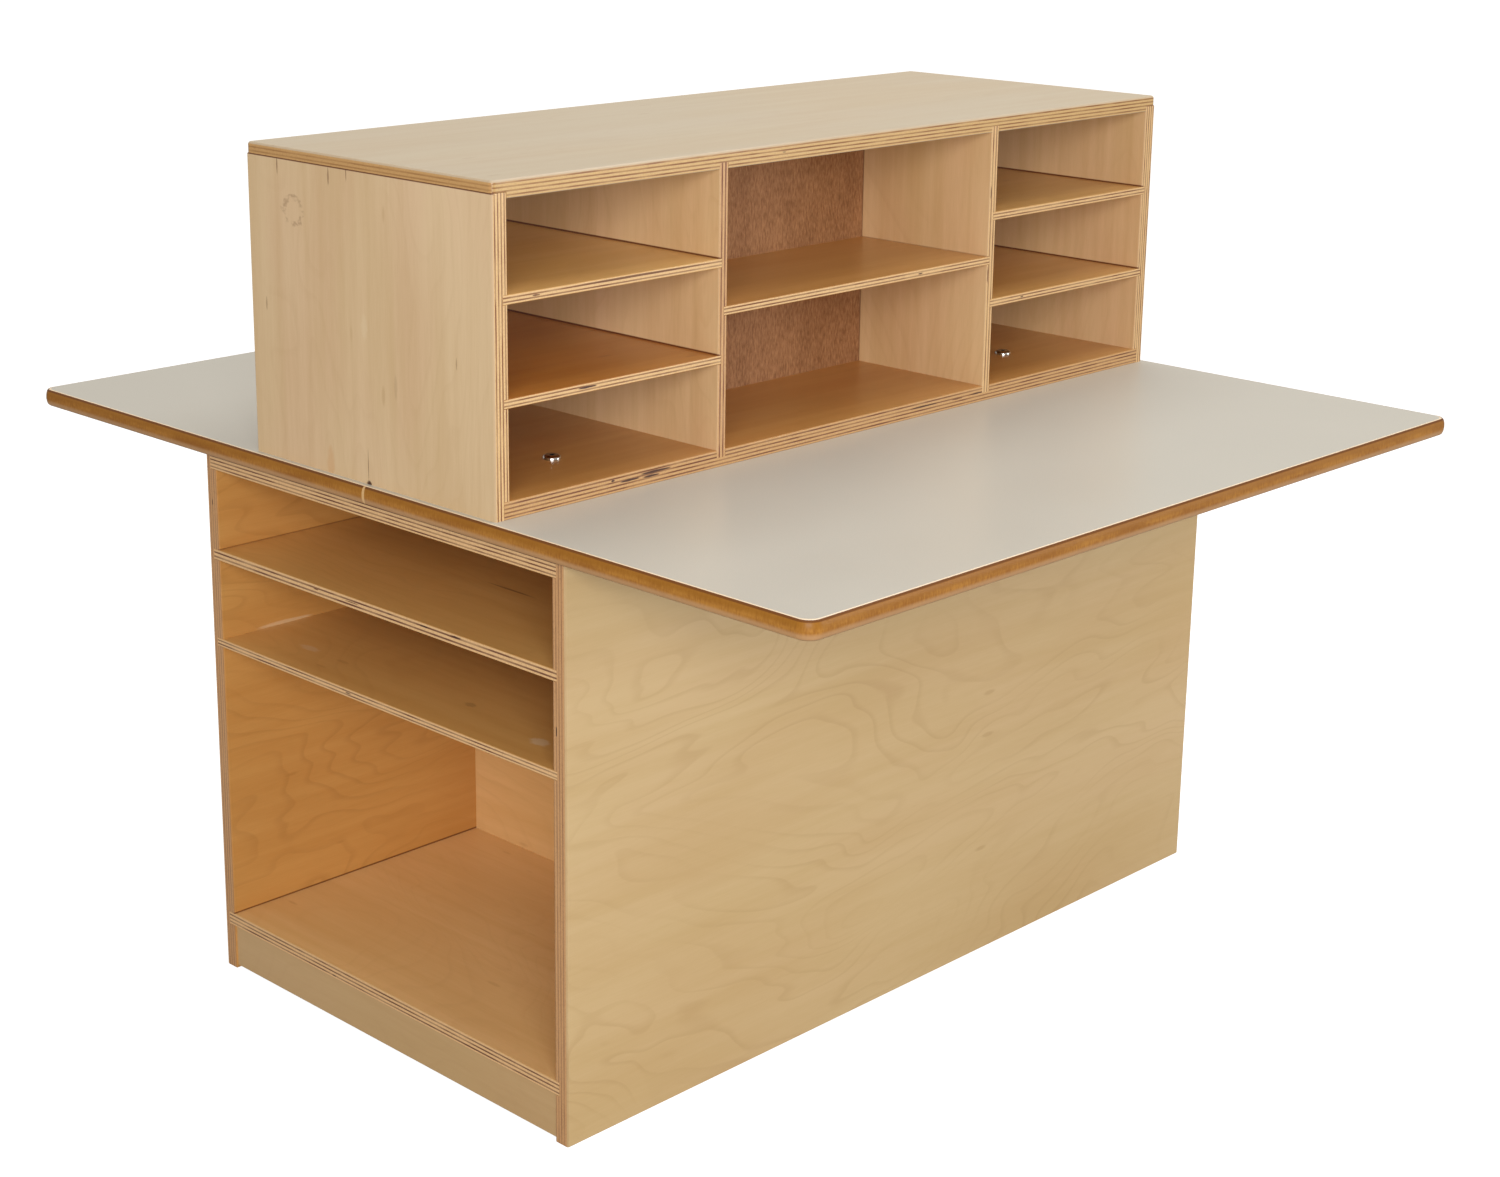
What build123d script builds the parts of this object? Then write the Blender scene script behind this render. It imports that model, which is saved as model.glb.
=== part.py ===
import os
from build123d import *

# Study island for a library, in millimetres: a cabinet open at both ends, a laminate worktop
# that overhangs it at the front and back for knees, and a double-sided rack of cubbies
# (the hutch) bolted through the worktop. The hutch's side columns are paper slots that run right
# through it, and a hardboard panel halves its middle column.
# +Z is up and the front faces -Y. The origin is on the floor under the middle of the worktop.

# Worktop
top_width = 1080.0            # X, over the edge moulding
top_depth = 1219.0            # Y, over the edge moulding
desk_height = 629.0           # floor to writing surface
core_thickness = 17.4
laminate_thickness = 0.8
corner_radius = 16.5          # outside, over the moulding
molding_face = 3.5            # how far the moulding stands out from the core
molding_lip = 0.3             # the moulding stops this far short of the laminate's face
molding_seam = 0.6            # gap where the moulding's two ends meet, at the left end
barb_depth = 9.0              # the moulding's tongue in the core's slot
barb_thickness = 2.4
laminate_bevel = 1.4          # across the laminate's face
laminate_bevel_drop = 0.5     # down its edge

# Cabinet
end_overhang = 10.5           # worktop past each end of the cabinet; the hutch's ends line up with it
base_depth = 581.0            # Y
case_ply = 18.0               # cabinet sides and sub-top, hutch case
floor_ply = 15.0              # cabinet floor
upper_shelf_ply = 12.0
lower_shelf_ply = 9.5
back_ply = 12.5               # panels that close the compartments inside the cabinet
bay_depth = 362.0             # end of the cabinet to the face of its back panel
kick_height = 52.5            # floor to the underside of the cabinet floor
kick_ply = 15.0
kick_gap = 3.5                # under the kick board
kick_setback = 2.0
slot_height = 91.0            # clear height of each of the two upper compartments
front_dado = 6.0              # depth of the joints in the front side panel
back_dado = 10.0              # depth of the joints in the back side panel

# Hutch
hutch_depth = 386.0           # Y
hutch_height = 329.0
divider_ply = 12.5
hutch_shelf_ply = 9.5
middle_bay = 427.5            # clear width of the middle column
hardboard = 4.8               # panel that halves the middle column
hardboard_groove = 4.0
top_joint = 6.5               # sides and dividers run up into the top
floor_joint = 8.0             # dividers run down into the hutch floor
side_rabbet = 7.5             # the hutch floor's ends sit in the sides
side_dado = 6.0               # shelves in the sides
divider_dado = 4.5            # shelves in the dividers

# Fasteners
bolt_inset_x = 139.5          # from the inside of the hutch's sides
bolt_inset_y = 94.0           # from the front and rear of the hutch floor
bolt_head_radius = 9.8
bolt_head_height = 4.4
bolt_crown = 3.7              # rounding of the head
bolt_radius = 3.0
bolt_tip = 3.0                # the bolt's end shows this far below its nut
socket_width = 5.0            # across the flats
socket_depth = 2.6
nut_flange_radius = 9.5
nut_flange_thickness = 1.5
nut_barrel_radius = 4.0
nut_barrel_length = 12.0
screw_inset_back = 32.5       # inner pairs, from the face of the back panel
screw_inset_end = 69.5        # outer pairs, from the end of the cabinet
screw_inset_side = 52.5       # from the inside of the side panels
screw_radius = 2.1
screw_head_radius = 4.5
screw_head_height = 2.6
screw_crown_radius = 2.7      # flat of the pan head
screw_crown_drop = 1.6        # from the flat to the head's full width
screw_bite = 13.0             # thread in the worktop's core
screw_point = 4.0

# Fits and eased edges
end_gap = 0.2                 # at the end of each tongue in its groove
thread_clearance = 0.15       # radial, between a thread and what it turns in
bolt_clearance = 0.5          # radial, where a bolt passes through a board
outer_ease = 2.5              # outside edges of the cabinet
inner_ease = 1.2
shelf_ease = 0.9
foot_ease = 1.0
hutch_corner = 5.0
hutch_top_ease = 3.0
hutch_ease = 2.0
groove_ease = 1.5             # the V along the joint between hutch side and top

# Places that follow from the sizes above
top_thickness = core_thickness + 2 * laminate_thickness
core_x = top_width / 2 - molding_face
core_y = top_depth / 2 - molding_face
core_radius = corner_radius - molding_face
base_height = desk_height - top_thickness
base_x = top_width / 2 - end_overhang
base_y = base_depth / 2
inside_y = base_y - case_ply
sub_top_low = base_height - case_ply
floor_high = kick_height + floor_ply
upper_shelf_high = sub_top_low - slot_height
upper_shelf_low = upper_shelf_high - upper_shelf_ply
lower_shelf_high = upper_shelf_low - slot_height
lower_shelf_low = lower_shelf_high - lower_shelf_ply
back_face = base_x - bay_depth
back_inner = back_face - back_ply
panel_front = -inside_y - front_dado + end_gap
panel_back = inside_y + back_dado - end_gap

hutch_x = base_x
hutch_y = hutch_depth / 2
hutch_floor_high = desk_height + case_ply
hutch_high = desk_height + hutch_height
hutch_top_low = hutch_high - case_ply
hutch_inside_x = hutch_x - case_ply
divider_inner = middle_bay / 2
divider_outer = divider_inner + divider_ply
hutch_clear = hutch_top_low - hutch_floor_high
side_slot = (hutch_clear - 2 * hutch_shelf_ply) / 3
middle_slot = (hutch_clear - hutch_shelf_ply) / 2
side_shelf_lows = {
    "lower": hutch_floor_high + side_slot,
    "upper": hutch_floor_high + 2 * side_slot + hutch_shelf_ply,
}
middle_shelf_low = hutch_floor_high + middle_slot
hardboard_low = hutch_floor_high - hardboard_groove
hardboard_high = hutch_top_low + hardboard_groove


def block(x, y, z, mode=Mode.ADD):
    """Add or cut a square-edged block between two limits on each axis."""
    limits = [sorted(pair) for pair in (x, y, z)]
    middle = tuple((low + high) / 2 for low, high in limits)
    with Locations(middle):
        Box(*(high - low for low, high in limits), mode=mode)


def save(piece, name):
    """Label a finished piece and write it to its own file."""
    piece.part.label = name
    export_step(piece.part, f"parts/{name}.step")


os.makedirs("parts", exist_ok=True)

# ---- Cabinet ----

# Side panels: full height, grooved inside for everything between them
for side, sign, dado in (("front", -1, front_dado), ("back", 1, back_dado)):
    joint = (sign * inside_y, sign * (inside_y + dado))
    with BuildPart() as base_side:
        block((-base_x, base_x), (sign * inside_y, sign * base_y), (0, base_height))
        upright = base_side.edges().filter_by(Axis.Z).group_by(Axis.Y)
        fillet(upright[0 if sign < 0 else -1], radius=outer_ease)
        upright = base_side.edges().filter_by(Axis.Z).group_by(Axis.Y)
        fillet(upright[-1 if sign < 0 else 0], radius=inner_ease)
        fillet(base_side.faces().sort_by(Axis.Z)[0].edges(), radius=foot_ease)
        block((-base_x, base_x), joint, (sub_top_low, base_height), Mode.SUBTRACT)
        block((-base_x, base_x), joint, (kick_height, floor_high), Mode.SUBTRACT)
        for end in (-1, 1):
            bay = (end * back_face, end * base_x)
            kick = (end * (base_x - kick_setback), end * (base_x - kick_setback - kick_ply))
            block(bay, joint, (upper_shelf_low, upper_shelf_high), Mode.SUBTRACT)
            block(bay, joint, (lower_shelf_low, lower_shelf_high), Mode.SUBTRACT)
            block((end * back_face, end * back_inner), joint, (floor_high, sub_top_low), Mode.SUBTRACT)
            block(kick, joint, (kick_gap, kick_height), Mode.SUBTRACT)
    save(base_side, f"base_side_{side}")

bolt_places = GridLocations(2 * (hutch_inside_x - bolt_inset_x), 2 * (hutch_y - bolt_inset_y), 2, 2)
screw_y = inside_y - screw_inset_side
screw_places = [
    (x, y)
    for reach in (back_face + screw_inset_back, base_x - screw_inset_end)
    for x in (-reach, reach) for y in (-screw_y, screw_y)
]

# Sub-top: ties the sides together and carries the worktop
with BuildPart() as base_sub_top:
    block((-base_x, base_x), (panel_front, panel_back), (sub_top_low, base_height))
    fillet(base_sub_top.edges().filter_by(Axis.Y).group_by(Axis.Z)[0], radius=shelf_ease)
    with BuildSketch(Plane.XY.offset(sub_top_low)) as through_holes:
        with bolt_places:
            Circle(bolt_radius + bolt_clearance)
        with Locations(screw_places):
            Circle(screw_radius + thread_clearance)
    extrude(amount=case_ply, mode=Mode.SUBTRACT)
    with BuildSketch(Plane.XY.offset(sub_top_low)) as nut_holes:
        with bolt_places:
            Circle(nut_barrel_radius)
    extrude(amount=nut_barrel_length + end_gap, mode=Mode.SUBTRACT)
save(base_sub_top, "base_sub_top")

with BuildPart() as base_floor:
    block((-base_x, base_x), (panel_front, panel_back), (kick_height, floor_high))
    fillet(base_floor.edges().filter_by(Axis.Y), radius=shelf_ease)
save(base_floor, "base_floor")

for end, sign in (("left", -1), ("right", 1)):
    with BuildPart() as base_back:
        block((sign * back_inner, sign * back_face), (panel_front, panel_back), (floor_high, sub_top_low))
    save(base_back, f"base_back_{end}")

    for level, low, high in (
        ("upper", upper_shelf_low, upper_shelf_high),
        ("lower", lower_shelf_low, lower_shelf_high),
    ):
        with BuildPart() as base_shelf:
            block((sign * back_face, sign * base_x), (panel_front, panel_back), (low, high))
            mouth = base_shelf.faces().sort_by(Axis.X)[0 if sign < 0 else -1]
            fillet(mouth.edges().filter_by(Axis.Y), radius=shelf_ease)
        save(base_shelf, f"base_shelf_{level}_{end}")

    kick_face = sign * (base_x - kick_setback)
    with BuildPart() as kick_board:
        block((kick_face, kick_face - sign * kick_ply), (panel_front, panel_back), (kick_gap, kick_height))
        fillet(kick_board.edges().filter_by(Axis.Y).group_by(Axis.Z)[0], radius=foot_ease)
    save(kick_board, f"kick_board_{end}")

# ---- Worktop ----

core_low = base_height + laminate_thickness
core_middle = core_low + core_thickness / 2

with BuildPart() as worktop_core:
    with BuildSketch(Plane.XY.offset(core_low)) as core_outline:
        RectangleRounded(2 * core_x, 2 * core_y, core_radius)
        with bolt_places:
            Circle(bolt_radius + bolt_clearance, mode=Mode.SUBTRACT)
    extrude(amount=core_thickness)
    with BuildSketch(Plane.XY.offset(core_middle - barb_thickness / 2)) as edge_slot:
        RectangleRounded(2 * core_x, 2 * core_y, core_radius)
        slot_floor = barb_depth + end_gap
        RectangleRounded(
            2 * (core_x - slot_floor), 2 * (core_y - slot_floor), core_radius - slot_floor, mode=Mode.SUBTRACT
        )
    extrude(amount=barb_thickness, mode=Mode.SUBTRACT)
    with BuildSketch(Plane.XY.offset(core_low)) as screw_pilots:
        with Locations(screw_places):
            Circle(screw_radius + thread_clearance)
    extrude(amount=screw_bite + end_gap, mode=Mode.SUBTRACT)
save(worktop_core, "worktop_core")

with BuildPart() as worktop_laminate:
    with BuildSketch(Plane.XY.offset(desk_height - laminate_thickness)) as laminate_outline:
        RectangleRounded(2 * core_x, 2 * core_y, core_radius)
        with bolt_places:
            Circle(bolt_radius + bolt_clearance, mode=Mode.SUBTRACT)
    extrude(amount=laminate_thickness)
    rim = worktop_laminate.faces().sort_by(Axis.Z)[-1]
    chamfer(rim.outer_wire().edges(), length=laminate_bevel, length2=laminate_bevel_drop, reference=rim)
save(worktop_laminate, "worktop_laminate")

with BuildPart() as worktop_backer:
    with BuildSketch(Plane.XY.offset(base_height)) as backer_outline:
        RectangleRounded(2 * core_x, 2 * core_y, core_radius)
        with bolt_places:
            Circle(bolt_radius + bolt_clearance, mode=Mode.SUBTRACT)
        with Locations(screw_places):
            Circle(screw_radius + thread_clearance, mode=Mode.SUBTRACT)
    extrude(amount=laminate_thickness)
save(worktop_backer, "worktop_backer")

# Edge moulding: a bull nose with a tongue, carried round the core from a seam at the left end
lip = top_thickness / 2 - molding_lip
tongue = barb_thickness / 2
with BuildPart() as worktop_edge_molding:
    with BuildLine(Plane.XY.offset(core_middle)) as core_edge:
        FilletPolyline(
            (-core_x, -molding_seam / 2), (-core_x, -core_y), (core_x, -core_y),
            (core_x, core_y), (-core_x, core_y), (-core_x, molding_seam / 2),
            radius=core_radius,
        )
    seam_plane = Plane(origin=core_edge.line @ 0, x_dir=(-1, 0, 0), z_dir=(0, -1, 0))
    with BuildSketch(seam_plane) as molding_profile:
        with BuildLine():
            EllipticalCenterArc((0, 0), molding_face, lip, start_angle=-90, arc_size=180)
            Polyline(
                (0, lip), (0, tongue), (-barb_depth, tongue),
                (-barb_depth, -tongue), (0, -tongue), (0, -lip),
            )
        make_face()
    sweep(path=core_edge.line)
save(worktop_edge_molding, "worktop_edge_molding")

# ---- Hutch ----

# Sides: the outer plies run down past the floor's ends and up into the top
for end, sign in (("left", -1), ("right", 1)):
    inner = sign * hutch_inside_x
    with BuildPart() as hutch_side:
        block((inner, sign * hutch_x), (-hutch_y, hutch_y), (desk_height, hutch_top_low + top_joint))
        upright = hutch_side.edges().filter_by(Axis.Z).group_by(Axis.X)
        fillet(upright[0 if sign < 0 else -1], radius=hutch_ease)
        upright = hutch_side.edges().filter_by(Axis.Z).group_by(Axis.X)
        fillet(upright[-1 if sign < 0 else 0], radius=inner_ease)
        brow = hutch_side.edges().filter_by(Axis.Y).group_by(Axis.Z)[-1].sort_by(Axis.X)
        fillet(brow[0 if sign < 0 else -1], radius=groove_ease)
        rabbet = (inner, inner + sign * side_rabbet)
        block(rabbet, (-hutch_y, hutch_y), (desk_height, hutch_floor_high), Mode.SUBTRACT)
        for low in side_shelf_lows.values():
            dado = (inner, inner + sign * side_dado)
            block(dado, (-hutch_y, hutch_y), (low, low + hutch_shelf_ply), Mode.SUBTRACT)
    save(hutch_side, f"hutch_side_{end}")

with BuildPart() as hutch_top:
    block((-hutch_x, hutch_x), (-hutch_y, hutch_y), (hutch_top_low, hutch_high))
    for sign in (-1, 1):
        block(
            (sign * hutch_inside_x, sign * hutch_x), (-hutch_y, hutch_y),
            (hutch_top_low, hutch_top_low + top_joint), Mode.SUBTRACT,
        )
    corners = hutch_top.edges().filter_by(Axis.Z).group_by(Axis.X)
    fillet(corners[0] + corners[-1], radius=hutch_corner)
    fillet(hutch_top.faces().sort_by(Axis.Z)[-1].edges(), radius=hutch_top_ease)
    fillet(hutch_top.edges().filter_by(Axis.X).group_by(Axis.Z)[0], radius=inner_ease)
    for sign in (-1, 1):
        block(
            (sign * divider_inner, sign * divider_outer), (-hutch_y, hutch_y),
            (hutch_top_low, hutch_top_low + top_joint), Mode.SUBTRACT,
        )
    block(
        (-divider_inner, divider_inner), (-hardboard / 2, hardboard / 2),
        (hutch_top_low, hardboard_high), Mode.SUBTRACT,
    )
save(hutch_top, "hutch_top")

hutch_floor_x = hutch_inside_x + side_rabbet - end_gap
with BuildPart() as hutch_floor:
    block((-hutch_floor_x, hutch_floor_x), (-hutch_y, hutch_y), (desk_height, hutch_floor_high))
    fillet(hutch_floor.edges().filter_by(Axis.X), radius=shelf_ease)
    for sign in (-1, 1):
        block(
            (sign * divider_inner, sign * divider_outer), (-hutch_y, hutch_y),
            (hutch_floor_high - floor_joint, hutch_floor_high), Mode.SUBTRACT,
        )
    block(
        (-divider_inner, divider_inner), (-hardboard / 2, hardboard / 2),
        (hardboard_low, hutch_floor_high), Mode.SUBTRACT,
    )
    with BuildSketch(Plane.XY.offset(desk_height)) as hutch_bolt_holes:
        with bolt_places:
            Circle(bolt_radius + bolt_clearance)
    extrude(amount=case_ply, mode=Mode.SUBTRACT)
save(hutch_floor, "hutch_floor")

for end, sign in (("left", -1), ("right", 1)):
    with BuildPart() as hutch_divider:
        block(
            (sign * divider_inner, sign * divider_outer), (-hutch_y, hutch_y),
            (hutch_floor_high - floor_joint, hutch_top_low + top_joint),
        )
        fillet(hutch_divider.edges().filter_by(Axis.Z), radius=shelf_ease)
        groove = (sign * divider_inner, sign * (divider_inner + hardboard_groove))
        block(groove, (-hardboard / 2, hardboard / 2), (hardboard_low, hardboard_high), Mode.SUBTRACT)
        outer_dado = (sign * divider_outer, sign * (divider_outer - divider_dado))
        inner_dado = (sign * divider_inner, sign * (divider_inner + divider_dado))
        for low in side_shelf_lows.values():
            block(outer_dado, (-hutch_y, hutch_y), (low, low + hutch_shelf_ply), Mode.SUBTRACT)
        block(
            inner_dado, (-hutch_y, hutch_y),
            (middle_shelf_low, middle_shelf_low + hutch_shelf_ply), Mode.SUBTRACT,
        )
    save(hutch_divider, f"hutch_divider_{end}")

with BuildPart() as hutch_middle_back:
    reach = divider_inner + hardboard_groove - end_gap
    block(
        (-reach, reach), (-hardboard / 2, hardboard / 2),
        (hardboard_low + end_gap, hardboard_high - end_gap),
    )
save(hutch_middle_back, "hutch_middle_back")

# Shelves of the side columns run from the front of the hutch to its rear
for column, sign in (("left", -1), ("right", 1)):
    ends = (
        sign * (divider_outer - divider_dado + end_gap),
        sign * (hutch_inside_x + side_dado - end_gap),
    )
    for level, low in side_shelf_lows.items():
        with BuildPart() as hutch_shelf:
            block(ends, (-hutch_y, hutch_y), (low, low + hutch_shelf_ply))
            fillet(hutch_shelf.edges().filter_by(Axis.X), radius=shelf_ease)
        save(hutch_shelf, f"hutch_shelf_{column}_{level}")

# Those of the middle column meet the hardboard
for face, sign in (("front", -1), ("rear", 1)):
    reach = divider_inner + divider_dado - end_gap
    with BuildPart() as hutch_shelf:
        block(
            (-reach, reach), (sign * hardboard / 2, sign * hutch_y),
            (middle_shelf_low, middle_shelf_low + hutch_shelf_ply),
        )
        mouth = hutch_shelf.faces().sort_by(Axis.Y)[0 if sign < 0 else -1]
        fillet(mouth.edges().filter_by(Axis.X), radius=shelf_ease)
    save(hutch_shelf, f"hutch_shelf_middle_{face}")

# ---- Fasteners ----

# Bolts: domed head on the hutch floor, down through the worktop and the sub-top
nut_low = sub_top_low - nut_flange_thickness
bolt_low = nut_low - bolt_tip
with BuildPart() as hutch_bolts:
    with BuildSketch(Plane.XY.offset(bolt_low)) as shanks:
        with bolt_places:
            Circle(bolt_radius)
    extrude(amount=hutch_floor_high - bolt_low)
    with BuildSketch(Plane.XY.offset(hutch_floor_high)) as heads:
        with bolt_places:
            Circle(bolt_head_radius)
    extrude(amount=bolt_head_height)
    crowns = hutch_bolts.faces().group_by(Axis.Z)[-1].edges()
    fillet(crowns, radius=bolt_crown)
    with BuildSketch(Plane.XY.offset(hutch_floor_high + bolt_head_height - socket_depth)) as sockets:
        with bolt_places:
            RegularPolygon(socket_width / 2, 6, major_radius=False)
    extrude(amount=socket_depth, mode=Mode.SUBTRACT)
save(hutch_bolts, "hutch_bolts")

with BuildPart() as hutch_bolt_nuts:
    with BuildSketch(Plane.XY.offset(nut_low)) as flanges:
        with bolt_places:
            Circle(nut_flange_radius)
    extrude(amount=nut_flange_thickness)
    with BuildSketch(Plane.XY.offset(sub_top_low)) as barrels:
        with bolt_places:
            Circle(nut_barrel_radius)
    extrude(amount=nut_barrel_length)
    with BuildSketch(Plane.XY.offset(nut_low)) as threads:
        with bolt_places:
            Circle(bolt_radius + thread_clearance)
    extrude(amount=nut_flange_thickness + nut_barrel_length, mode=Mode.SUBTRACT)
save(hutch_bolt_nuts, "hutch_bolt_nuts")

# Screws: up through the sub-top into the worktop's core
screw_length = case_ply + laminate_thickness + screw_bite
with BuildPart() as screw:
    with BuildSketch(Plane.XZ) as screw_profile:
        with BuildLine():
            Polyline(
                (0, -screw_head_height), (screw_crown_radius, -screw_head_height),
                (screw_head_radius, screw_crown_drop - screw_head_height), (screw_head_radius, 0),
                (screw_radius, 0), (screw_radius, screw_length - screw_point), (0, screw_length),
                close=True,
            )
        make_face()
    revolve(axis=Axis.Z)
with BuildPart() as worktop_screws:
    with Locations([(x, y, sub_top_low) for x, y in screw_places]):
        add(screw.part)
save(worktop_screws, "worktop_screws")
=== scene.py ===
import bpy
import math
from mathutils import Matrix, Vector


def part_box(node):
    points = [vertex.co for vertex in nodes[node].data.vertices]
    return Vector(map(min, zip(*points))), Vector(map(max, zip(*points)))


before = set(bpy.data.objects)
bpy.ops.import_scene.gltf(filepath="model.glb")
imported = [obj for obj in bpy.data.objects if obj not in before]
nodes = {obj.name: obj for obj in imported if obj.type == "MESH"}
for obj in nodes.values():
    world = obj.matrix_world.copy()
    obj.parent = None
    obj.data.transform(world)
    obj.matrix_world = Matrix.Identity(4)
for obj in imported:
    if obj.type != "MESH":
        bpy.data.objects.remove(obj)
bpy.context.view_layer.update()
print("frame loaded:", len(nodes), "nodes")

# axis letters used below: which way a board's thickness and its face grain run
axes = {"x": Vector((1, 0, 0)), "y": Vector((0, 1, 0)), "z": Vector((0, 0, 1))}


def display(red, green, blue):
    # a colour as it looks on screen, 0 to 255, turned into the linear value that shaders want
    steps = [c / 255 for c in (red, green, blue)]
    return tuple(c / 12.92 if c <= 0.04045 else ((c + 0.055) / 1.055) ** 2.4 for c in steps) + (1.0,)


# ---- small helpers for building shader trees ----

def put(tree, kind, inputs=None, **settings):
    made = tree.nodes.new("ShaderNode" + kind)
    for name, value in settings.items():
        setattr(made, name, value)
    for name, value in (inputs or {}).items():
        if isinstance(value, bpy.types.NodeSocket):
            tree.links.new(value, made.inputs[name])
        else:
            made.inputs[name].default_value = value
    return made


def sums(tree, operation, *values):
    return put(tree, "Math", dict(enumerate(values)), operation=operation).outputs[0]


def stretch(tree, vector, x, y, z):
    # a noise read at the stretched place changes x, y and z times per metre along the three axes
    return put(tree, "VectorMath", {0: vector, 1: (x, y, z)}, operation="MULTIPLY").outputs[0]


def ramp(tree, value, low, high, toLow=0.0, toHigh=1.0):
    # smooth step from low to high
    return put(
        tree, "MapRange",
        {"Value": value, "From Min": low, "From Max": high, "To Min": toLow, "To Max": toHigh},
        interpolation_type="SMOOTHSTEP",
    ).outputs[0]


def tint(tree, factor, first, second, blend="MIX"):
    return put(tree, "Mix", {0: factor, 6: first, 7: second}, data_type="RGBA", blend_type=blend).outputs[2]


def noise(tree, vector, seed, detail=2.0, roughness=0.5, distortion=0.0, scale=1.0):
    return put(
        tree, "TexNoise",
        {"Vector": vector, "W": seed, "Scale": scale, "Detail": detail,
         "Roughness": roughness, "Distortion": distortion},
        noise_dimensions="4D",
    ).outputs[0]


def newGroup(name, inputs, outputs):
    group = bpy.data.node_groups.new(name, "ShaderNodeTree")
    for label, kind in inputs:
        group.interface.new_socket(label, in_out="INPUT", socket_type="NodeSocket" + kind)
    for label, kind in outputs:
        group.interface.new_socket(label, in_out="OUTPUT", socket_type="NodeSocket" + kind)
    entry = group.nodes.new("NodeGroupInput").outputs
    leave = group.nodes.new("NodeGroupOutput").inputs
    return group, entry, leave


def useGroup(tree, group, inputs):
    made = tree.nodes.new("ShaderNodeGroup")
    made.node_tree = group
    for name, value in inputs.items():
        if isinstance(value, bpy.types.NodeSocket):
            tree.links.new(value, made.inputs[name])
        else:
            made.inputs[name].default_value = value
    return made.outputs


def newMaterial(name):
    material = bpy.data.materials.new(name)
    material.use_nodes = True
    tree = material.node_tree
    shader = tree.nodes["Principled BSDF"]
    return material, tree, shader


def give(material, *names):
    for name in names:
        slots = nodes[name].data.materials
        slots.clear()
        slots.append(material)


# ---- shared effects ----

# Rotary-cut birch: growth rings are level lines of a slow noise drawn out along the grain,
# each dark on one side only; over them lie clouds, a pink blush, streaks, fibres and pith flecks.
# A stretch counts changes per metre along the grain, across it and into the board, and a shift
# keeps one layer's noise apart from the others'. Pairs are where an effect starts and is full.
veneer = {
    "rings": {"stretch": (1.7, 4.6, 4.6), "shift": 0.0, "count": 34.0, "dark": (0.62, 0.92)},
    "fading": {"stretch": (4.0, 9.0, 9.0), "shift": 11.0, "band": (0.3, 0.65), "least": 0.15},
    "clouds": {"stretch": (2.4, 6.0, 6.0), "shift": 5.0, "share": 0.9},
    "streaks": {"stretch": (3.0, 70.0, 70.0), "shift": 7.0, "share": 0.7, "relief": 0.6},
    "fibres": {"stretch": (45.0, 1100.0, 1100.0), "shift": 0.0, "share": 0.25},
    "blush": {"stretch": (3.5, 13.0, 13.0), "shift": 17.0, "band": (0.4, 0.66),
              "color": (1.0, 0.93, 0.98, 1.0)},
    "flecks": {"stretch": (16.0, 60.0, 60.0), "rare": (0.86, 0.9), "spot": (0.22, 0.1)},
    "darkening": (0.55, 1.3),
    "satin": (0.3, 0.7),
}


def veneerLayer(group, entry, layer, **settings):
    values = veneer[layer]
    seed = sums(group, "ADD", entry["Seed"], values["shift"])
    return noise(group, stretch(group, entry["Vector"], *values["stretch"]), seed, **settings)


def makeBirchVeneer():
    group, entry, leave = newGroup(
        "birchVeneer",
        [("Vector", "Vector"), ("Seed", "Float"), ("Pale", "Color"), ("Tan", "Color"),
         ("Line", "Color"), ("Figure", "Float"), ("Flecks", "Float"), ("Blush", "Float")],
        [("Color", "Color"), ("Height", "Float"), ("Satin", "Float")],
    )
    starts, full = veneer["rings"]["dark"]
    slow = veneerLayer(group, entry, "rings", detail=3.0, roughness=0.42, distortion=0.5)
    turn = sums(group, "FRACT", sums(group, "MULTIPLY", slow, veneer["rings"]["count"]))
    ring = sums(group, "SUBTRACT", ramp(group, turn, starts, full), ramp(group, turn, full, 1.0))
    fading = veneerLayer(group, entry, "fading", detail=1.0)
    fading = ramp(group, fading, *veneer["fading"]["band"], veneer["fading"]["least"], 1.0)
    ring = sums(group, "MULTIPLY", sums(group, "MULTIPLY", ring, fading), entry["Figure"])
    cloud = veneerLayer(group, entry, "clouds", detail=2.0)
    streak = veneerLayer(group, entry, "streaks", detail=3.0)
    fibre = veneerLayer(group, entry, "fibres", detail=1.0)
    mixed = sums(group, "ADD", sums(group, "MULTIPLY", cloud, veneer["clouds"]["share"]),
                 sums(group, "MULTIPLY", streak, veneer["streaks"]["share"]))
    mixed = sums(group, "ADD", mixed, sums(group, "MULTIPLY", fibre, veneer["fibres"]["share"]))
    color = tint(group, ramp(group, mixed, *veneer["darkening"]), entry["Pale"], entry["Tan"])
    blush = ramp(group, veneerLayer(group, entry, "blush", detail=2.0), *veneer["blush"]["band"])
    blush = sums(group, "MULTIPLY", blush, entry["Blush"])
    color = tint(group, blush, color, veneer["blush"]["color"], "MULTIPLY")
    color = tint(group, ring, color, entry["Line"])
    cell = put(
        group, "TexVoronoi",
        {"Vector": stretch(group, entry["Vector"], *veneer["flecks"]["stretch"]), "W": entry["Seed"],
         "Scale": 1.0, "Randomness": 1.0},
        voronoi_dimensions="4D",
    )
    rare = put(group, "SeparateColor", {0: cell.outputs["Color"]}).outputs[0]
    rare = ramp(group, rare, *veneer["flecks"]["rare"])
    fleck = sums(group, "MULTIPLY", rare, ramp(group, cell.outputs["Distance"], *veneer["flecks"]["spot"]))
    color = tint(group, sums(group, "MULTIPLY", fleck, entry["Flecks"]), color, entry["Line"])
    height = sums(group, "ADD", fibre, sums(group, "MULTIPLY", streak, veneer["streaks"]["relief"]))
    group.links.new(color, leave["Color"])
    group.links.new(height, leave["Height"])
    group.links.new(ramp(group, cloud, *veneer["satin"]), leave["Satin"])
    return group


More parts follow.
